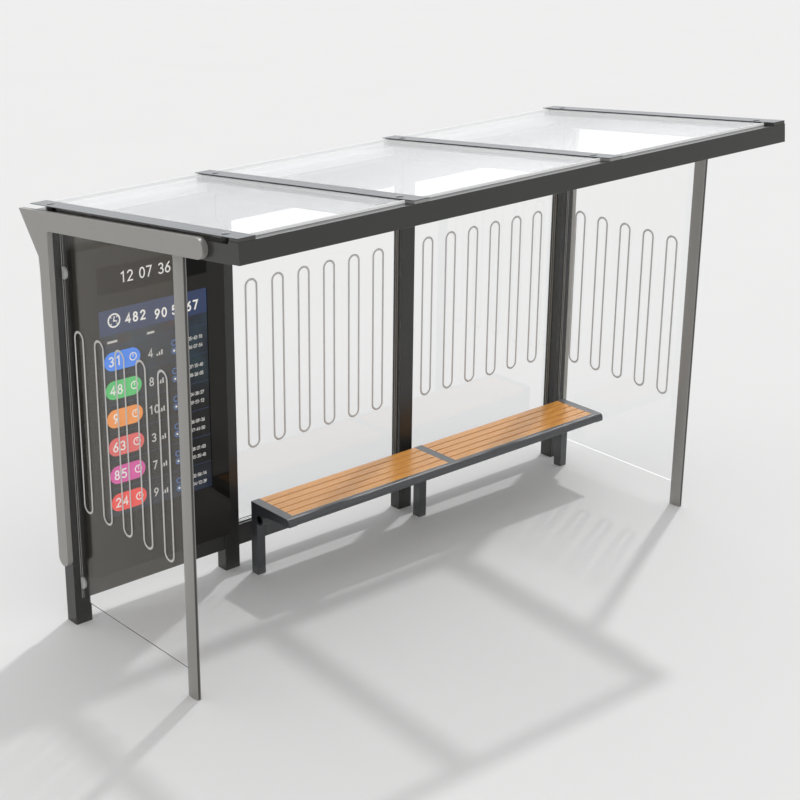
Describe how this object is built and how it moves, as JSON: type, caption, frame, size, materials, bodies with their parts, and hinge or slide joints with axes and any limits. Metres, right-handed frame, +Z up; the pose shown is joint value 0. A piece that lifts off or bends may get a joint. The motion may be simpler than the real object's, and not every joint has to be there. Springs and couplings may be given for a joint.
{
  "type": "bus shelter",
  "caption": "Bus shelter with a sloping glass roof, glass back and sides, silver end plates shaped like a seven, an upright information case and a timber-slatted bench.",
  "frame": {"origin": "middle of the footprint on the floor the posts stand on", "axes": "+Z up, +X to the right seen from the open front, +Y towards the back wall"},
  "size_m": [3.748, 1.7873, 2.4432],
  "materials": {
    "dark_frame": "satin anthracite powder coat",
    "silver_frame": "satin silver-grey powder coat",
    "cover_strip": "semi-gloss powder coat",
    "gutter": "satin",
    "clear_glass": "clear toughened",
    "info_case": "gloss dark",
    "info_screen": "dark display panel",
    "bench_frame": "satin anthracite powder coat",
    "bench_timber": "oiled hardwood"
  },
  "bodies": {
    "root": {"post_back_left": "dark_frame", "post_inner_left": "dark_frame", "post_inner_right": "dark_frame", "post_back_right": "dark_frame", "bottom_rail_left": "dark_frame", "bottom_rail_middle": "dark_frame", "bottom_rail_right": "dark_frame", "top_rail_left": "dark_frame", "top_rail_middle": "dark_frame", "top_rail_right": "dark_frame", "rafter_left": "dark_frame", "rafter_inner_left": "dark_frame", "rafter_inner_right": "dark_frame", "rafter_right": "dark_frame", "fascia_beam": "dark_frame", "end_plate_left": "silver_frame", "end_plate_right": "silver_frame", "post_front_left": "silver_frame", "post_front_right": "silver_frame", "cover_strip_left": "cover_strip", "cover_strip_inner_left": "cover_strip", "cover_strip_inner_right": "cover_strip", "cover_strip_right": "cover_strip", "gutter_left": "gutter", "gutter_middle": "gutter", "gutter_right": "gutter", "back_glass_middle": "clear_glass", "back_glass_right": "clear_glass", "side_glass_left": "clear_glass", "side_glass_right": "clear_glass", "roof_glass_left": "clear_glass", "roof_glass_middle": "clear_glass", "roof_glass_right": "clear_glass", "info_case": "info_case", "info_screen": "info_screen", "bench_back_beam": "bench_frame", "bench_front_rail": "bench_frame", "bench_divider": "bench_frame", "bench_end_left": "bench_frame", "bench_end_right": "bench_frame", "bench_leg_left": "bench_frame", "bench_leg_middle": "bench_frame", "bench_leg_right": "bench_frame", "seat_left": "bench_timber", "seat_right": "bench_timber"}
  },
  "joints": []
}
